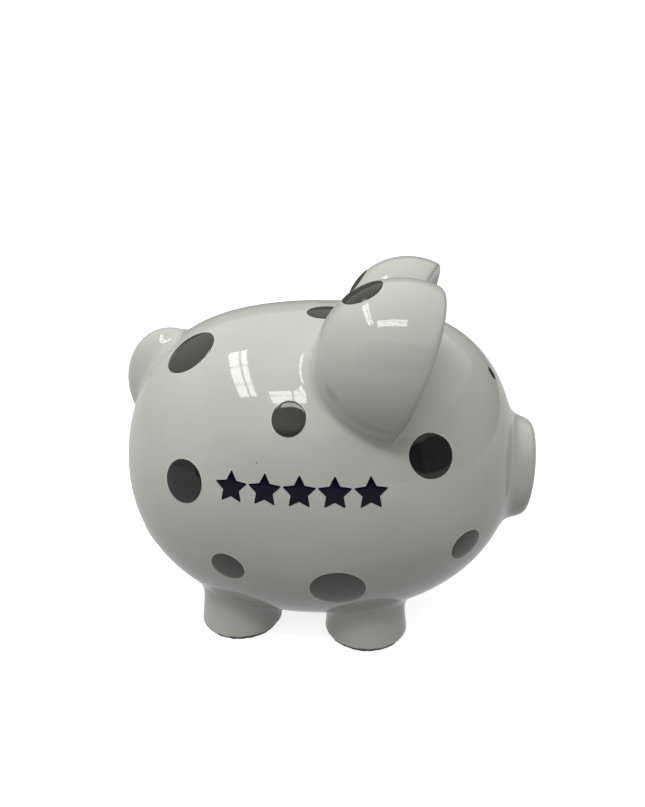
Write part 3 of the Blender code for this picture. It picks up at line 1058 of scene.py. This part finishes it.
# Felt pads. The profile lists shares of the radius and of the thickness, from the floor up; the edge
# is the part past PAD_EDGE_SHARE. It is drawn in, waves slowly and frays from point to point.
PAD_PROFILE = [
    (0.86, 0.02), (0.97, 0.04), (1.0, 0.22), (1.0, 0.55),
    (0.985, 0.88), (0.95, 1.0), (0.85, 1.0),
]
PAD_POINTS = 160
PAD_EDGE_SHARE = 0.9
PAD_INSET = 0.35
PAD_WAVE = 0.12
PAD_WAVE_TURN = 6.28
PAD_FRAY = 0.16
PAD_LIFT = 0.06
PAD_LIFT_HEIGHTS = (0.2, 0.9)
PAD_SEED = 60


def pad_skin(low, high, seed):
    """A pressed felt disc with a frayed, slightly crushed edge."""
    random = np.random.default_rng(seed)
    angle = np.arange(PAD_POINTS) * math.tau / PAD_POINTS
    middle = (low + high) / 2
    radius, thick = (high[0] - low[0]) / 2, high[2] - low[2]
    coarse = sum(
        random.normal() / waves * np.cos(waves * angle + random.uniform(0, PAD_WAVE_TURN))
        for waves in range(2, 9)
    )
    skin = Skin()
    rings = []
    for share, height in PAD_PROFILE:
        fray = random.normal(size=PAD_POINTS)
        fray = (fray + np.roll(fray, 1)) / 2
        edge = 1.0 if share > PAD_EDGE_SHARE else 0.0
        reach = radius * share - edge * (PAD_INSET + PAD_WAVE * coarse + PAD_FRAY * fray)
        lifted = edge * (PAD_LIFT_HEIGHTS[0] < height < PAD_LIFT_HEIGHTS[1])
        level = low[2] + thick * height + PAD_LIFT * lifted * random.normal(size=PAD_POINTS)
        points = np.column_stack(
            (middle[0] + reach * np.cos(angle), middle[1] + reach * np.sin(angle), level)
        )
        rings.append(skin.add_points(np.clip(points, low, high), points * 0))
    for first, second in zip(rings, rings[1:]):
        skin.strip(first, second)
    skin.faces.append(tuple(rings[0][::-1]))
    skin.faces.append(tuple(rings[-1]))
    return skin


def corner_normals(skin):
    """Point normals worked out from the faces."""
    normals = np.zeros_like(skin.points)
    for face in skin.faces:
        corners = skin.points[list(face)]
        total = np.cross(corners, np.roll(corners, -1, 0)).sum(0)
        normals[list(face)] += total / max(len(face) / 4, 1)
    skin.normals = unit(normals)
    return skin


def build_pads():
    for number, where in enumerate(("front_left", "front_right", "rear_left", "rear_right")):
        node_name = "foot_pad_" + where
        skin = corner_normals(pad_skin(*box_mm(node_name), PAD_SEED + number))
        add_piece("felt_pad_" + where, skin, "grey_felt", replaces=(node_name,))


# The rubber plug: a flange with a dimple and a groove underneath, and a hollow barrel with two beads.
PLUG_POINTS = 120
PLUG_FIT = 0.3
FLANGE_THICK = 2.2
FLANGE_LOWER_EDGE = 0.9
FLANGE_UPPER_EDGE = 0.5
DIMPLE_RADIUS = 5.5
DIMPLE_FLAT_RADIUS = 5.0
DIMPLE_DEPTH = 0.5
DIMPLE_EDGE = 0.4
GROOVE_RADII = (12.5, 14.1)
GROOVE_SLOPE = 0.4
GROOVE_DEPTH = 0.25
NECK_START = 0.1
NECK_DEPTH = 0.7
NECK_RISE = 0.6
BEAD_RADIUS = 0.8
BEAD_HEIGHTS = (2.0, 5.2)
BARREL_TOP_INSET = 1.4
BARREL_TOP_EDGE = 0.8
CUP_RADIUS = 11.0
CUP_FLOOR = 3.0
CUP_EDGE = 0.6
TAB_HALF_WIDTH = 6.2
TAB_SHOULDER = 2.6
TAB_START = 1.5


def fillet(corner_radius, corner_height, size, start, end, steps=4):
    """Points of a rounded edge in (radius, height), between two angles in degrees."""
    turns = np.radians(np.linspace(start, end, steps + 1))
    return [(corner_radius + size * math.cos(t), corner_height + size * math.sin(t)) for t in turns]


def flange_profile(bottom, top):
    """From the middle of the flange's underside, round its edge, to its upper face."""
    inner, outer = GROOVE_RADII
    groove = bottom + GROOVE_DEPTH
    low, high = FLANGE_LOWER_EDGE, FLANGE_UPPER_EDGE
    profile = [(0.0, bottom + DIMPLE_DEPTH), (DIMPLE_FLAT_RADIUS, bottom + DIMPLE_DEPTH)]
    profile += fillet(DIMPLE_RADIUS + DIMPLE_EDGE, bottom + DIMPLE_EDGE, DIMPLE_EDGE, 180, 270)
    profile += [(inner, bottom), (inner + GROOVE_SLOPE, groove)]
    profile += [(outer - GROOVE_SLOPE, groove), (outer, bottom)]
    profile += fillet(PLUG_FLANGE_RADIUS - low, bottom + low, low, -90, 0)
    profile += fillet(PLUG_FLANGE_RADIUS - high, top - high, high, 0, 90)
    return profile


def plug_profile():
    """From the middle of the flange's underside, round the flange and barrel, into the hollow."""
    bottom, top = PLUG_LOW[2], PLUG_HIGH[2]
    flange_top = bottom + FLANGE_THICK
    barrel = HOLE_RADIUS - PLUG_FIT
    floor = bottom + CUP_FLOOR
    profile = flange_profile(bottom, flange_top)
    profile += [(barrel - NECK_START, flange_top), (barrel - NECK_DEPTH, flange_top + NECK_RISE)]
    for bead in BEAD_HEIGHTS:
        profile += fillet(barrel - BEAD_RADIUS, flange_top + bead, BEAD_RADIUS, -80, 80, 6)
    profile += fillet(barrel - BARREL_TOP_INSET, top - BARREL_TOP_EDGE, BARREL_TOP_EDGE, 0, 90)
    profile += fillet(CUP_RADIUS + CUP_EDGE, top - CUP_EDGE, CUP_EDGE, 90, 180)
    profile += [(CUP_RADIUS, floor + CUP_EDGE)]
    profile += fillet(CUP_RADIUS - CUP_EDGE, floor + CUP_EDGE, CUP_EDGE, 0, -90)
    return profile + [(0.0, floor)]


def plug_skin():
    """The plug, turned about its axis, with a tab for a fingernail at the flange's rear."""
    angle = np.arange(PLUG_POINTS) * math.tau / PLUG_POINTS
    sideways = np.abs(PLUG_FLANGE_RADIUS * np.sin(angle))
    tab = np.where(np.cos(angle) < 0, np.clip((TAB_HALF_WIDTH - sideways) / TAB_SHOULDER, 0, 1), 0)
    tab_reach = PLUG_X - PLUG_FLANGE_RADIUS - PLUG_LOW[0]
    tab = tab_reach * tab * tab * (3 - 2 * tab)
    tab_start = HOLE_RADIUS + TAB_START
    skin = Skin()
    rings = []
    (_, first_height), *middle, (_, last_height) = plug_profile()
    for radius, height in middle:
        reach = radius + tab * max(0.0, (radius - tab_start) / (PLUG_FLANGE_RADIUS - tab_start))
        across, level = PLUG_X + reach * np.cos(angle), np.full(PLUG_POINTS, height)
        points = np.column_stack((across, reach * np.sin(angle), level))
        rings.append(skin.add_points(points, points * 0))
    for first, second in zip(rings, rings[1:]):
        skin.strip(first, second)
    skin.fan(rings[0][::-1], skin.add_points([(PLUG_X, 0.0, first_height)], [UP])[0])
    skin.fan(rings[-1], skin.add_points([(PLUG_X, 0.0, last_height)], [UP])[0])
    return corner_normals(skin)


def build_plug():
    skin = plug_skin()
    add_piece("rubber_plug", skin, "plug_rubber", "stopper", ("belly_stopper",))


build_dots()
build_face()
build_stars()
build_pads()
build_plug()


# Floor, light and camera.

FLOOR_HALF_SIZE = 6.0
FLOOR_GAP = 0.0002
FLOOR_TONE = 0.80
FLOOR_GLOW = 0.82
FLOOR_MIRRORED_GLOW = 0.65
FLOOR_BOUNCE_TONE = 0.22


def emission(tree, strength):
    made = node(tree, "ShaderNodeEmission")
    made.inputs["Strength"].default_value = strength
    return made.outputs[0]


def diffuse(tree, tone):
    made = node(tree, "ShaderNodeBsdfDiffuse")
    made.inputs["Color"].default_value = (tone, tone, tone, 1)
    return made.outputs[0]


def floor_material():
    """White to the camera apart from the bank's shadow, and grey to everything else."""
    material, tree, shader = new_material("pale_floor")
    tree.nodes.remove(shader)
    rays = node(tree, "ShaderNodeLightPath").outputs
    glow, mirrored = emission(tree, FLOOR_GLOW), emission(tree, FLOOR_MIRRORED_GLOW)
    seen = combine(tree, "ShaderNodeAddShader", diffuse(tree, FLOOR_TONE), glow)
    bounce = diffuse(tree, FLOOR_BOUNCE_TONE)
    other = combine(tree, "ShaderNodeMixShader", rays["Is Glossy Ray"], bounce, mirrored)
    mixed = combine(tree, "ShaderNodeMixShader", rays["Is Camera Ray"], other, seen)
    tree.links.new(mixed, tree.nodes["Material Output"].inputs["Surface"])
    return material


def build_floor():
    mesh = bpy.data.meshes.new("floor")
    size = FLOOR_HALF_SIZE
    corners = [(-size, -size, 0), (size, -size, 0), (size, size, 0), (-size, size, 0)]
    mesh.from_pydata(corners, [], [(0, 1, 2, 3)])
    mesh.materials.append(floor_material())
    floor = bpy.data.objects.new("floor", mesh)
    floor.location.z = cad_bounds[0].z - FLOOR_GAP
    bpy.context.scene.collection.objects.link(floor)


# The room's tones as reflections see them: rear and front walls, right and left walls, ceiling.
REAR_WALL = (0.47, 0.47, 0.445)
FRONT_WALL = (0.20, 0.20, 0.197)
RIGHT_WALL = (0.08, 0.08, 0.078)
LEFT_WALL = (0.15, 0.15, 0.148)
CEILING = (0.61, 0.61, 0.58)
CEILING_PITCH = (0.62, 0.66)
CORNER_BLUR = 0.02


def room_tone(tree):
    """A plain room as reflections see it: a light ceiling over four tones of wall."""

    def beyond_zero(value):
        return map_range(tree, value, -CORNER_BLUR, CORNER_BLUR)

    where = node(tree, "ShaderNodeTexCoord")
    split = node(tree, "ShaderNodeSeparateXYZ")
    tree.links.new(where.outputs["Generated"], split.inputs[0])
    x, y, z = split.outputs
    wide, deep = math_node(tree, "ABSOLUTE", x), math_node(tree, "ABSOLUTE", y)
    pitch = math_node(tree, "DIVIDE", z, math_node(tree, "MAXIMUM", wide, deep))
    ends = mix_colors(tree, beyond_zero(x), REAR_WALL, FRONT_WALL)
    sides = mix_colors(tree, beyond_zero(y), RIGHT_WALL, LEFT_WALL)
    at_end = beyond_zero(math_node(tree, "SUBTRACT", wide, deep))
    walls = mix_colors(tree, at_end, sides, ends)
    return mix_colors(tree, map_range(tree, pitch, *CEILING_PITCH), walls, CEILING)


def build_world():
    """White to the camera, and a plain room to everything else."""
    world = bpy.data.worlds.new("room")
    bpy.context.scene.world = world
    world.use_nodes = True
    tree = world.node_tree
    tree.nodes.clear()
    room, white = (node(tree, "ShaderNodeBackground") for _ in range(2))
    tree.links.new(room_tone(tree), room.inputs["Color"])
    white.inputs["Color"].default_value = (1, 1, 1, 1)
    seen = node(tree, "ShaderNodeLightPath").outputs["Is Camera Ray"]
    mixed = combine(tree, "ShaderNodeMixShader", seen, room.outputs[0], white.outputs[0])
    tree.links.new(mixed, node(tree, "ShaderNodeOutputWorld").inputs["Surface"])


SKYLIGHT_HEIGHT = 2.0
PANE_RADIANCE = 8.0
PANE_COLOR = (1.0, 1.0, 0.945)


def skylight(name, low, high, columns, rows, bar):
    """Bright panes in the ceiling, between two corners given as x and y in metres."""
    wide = (high[0] - low[0] - bar * (len(columns) - 1)) / sum(columns)
    deep = (high[1] - low[1] - bar * (len(rows) - 1)) / sum(rows)
    left = low[0]
    for i, column in enumerate(columns):
        near = low[1]
        for j, row in enumerate(rows):
            data = bpy.data.lights.new(f"{name}_{i}_{j}", "AREA")
            data.shape = "RECTANGLE"
            data.size, data.size_y = column * wide, row * deep
            data.color = PANE_COLOR
            data.energy = PANE_RADIANCE * math.pi * data.size * data.size_y
            light = bpy.data.objects.new(data.name, data)
            light.location = (left + data.size / 2, near + data.size_y / 2, SKYLIGHT_HEIGHT)
            bpy.context.scene.collection.objects.link(light)
            near += data.size_y + bar
        left += column * wide + bar


def build_lights():
    skylight("side_window", (-1.20, -1.13), (-0.93, 0.33), (2, 1), (0.43, 0.55, 0.48), 0.03)
    skylight("front_window", (-0.74, -1.40), (0.47, -1.00), (1, 1, 1, 1), (2, 1), 0.02)


# Angles in degrees, azimuth from -Y toward +X. The rest is in metres, but for the lens in mm.
CAMERA_AZIMUTH = 8.81
CAMERA_ELEVATION = 17.5
CAMERA_ROLL = -0.43
CAMERA_DISTANCE = 0.390
CAMERA_LENS = 29.0
CAMERA_AIM = Vector((-0.0018, 0.0, 0.0236))


def aim(azimuth, elevation):
    """Unit direction for an azimuth and an elevation."""
    a, e = math.radians(azimuth), math.radians(elevation)
    return Vector((math.sin(a) * math.cos(e), -math.cos(a) * math.cos(e), math.sin(e)))


def build_camera():
    """Stands ahead of the pig's right side, a little above it."""
    low, high = cad_bounds
    back = aim(CAMERA_AZIMUTH, CAMERA_ELEVATION)
    right = aim(CAMERA_AZIMUTH + 90, 0)
    up = back.cross(right)
    roll = math.radians(CAMERA_ROLL)
    tilted_right = right * math.cos(roll) + up * math.sin(roll)
    tilted_up = up * math.cos(roll) - right * math.sin(roll)
    data = bpy.data.cameras.new("camera")
    data.lens = CAMERA_LENS
    camera = bpy.data.objects.new("camera", data)
    camera.rotation_mode = "QUATERNION"
    camera.rotation_quaternion = Matrix((tilted_right, tilted_up, back)).transposed().to_quaternion()
    camera.location = (low + high) / 2 + CAMERA_AIM + CAMERA_DISTANCE * back
    bpy.context.scene.collection.objects.link(camera)
    bpy.context.scene.camera = camera
    bpy.context.scene.view_settings.view_transform = "Standard"


build_floor()
build_world()
build_lights()
build_camera()
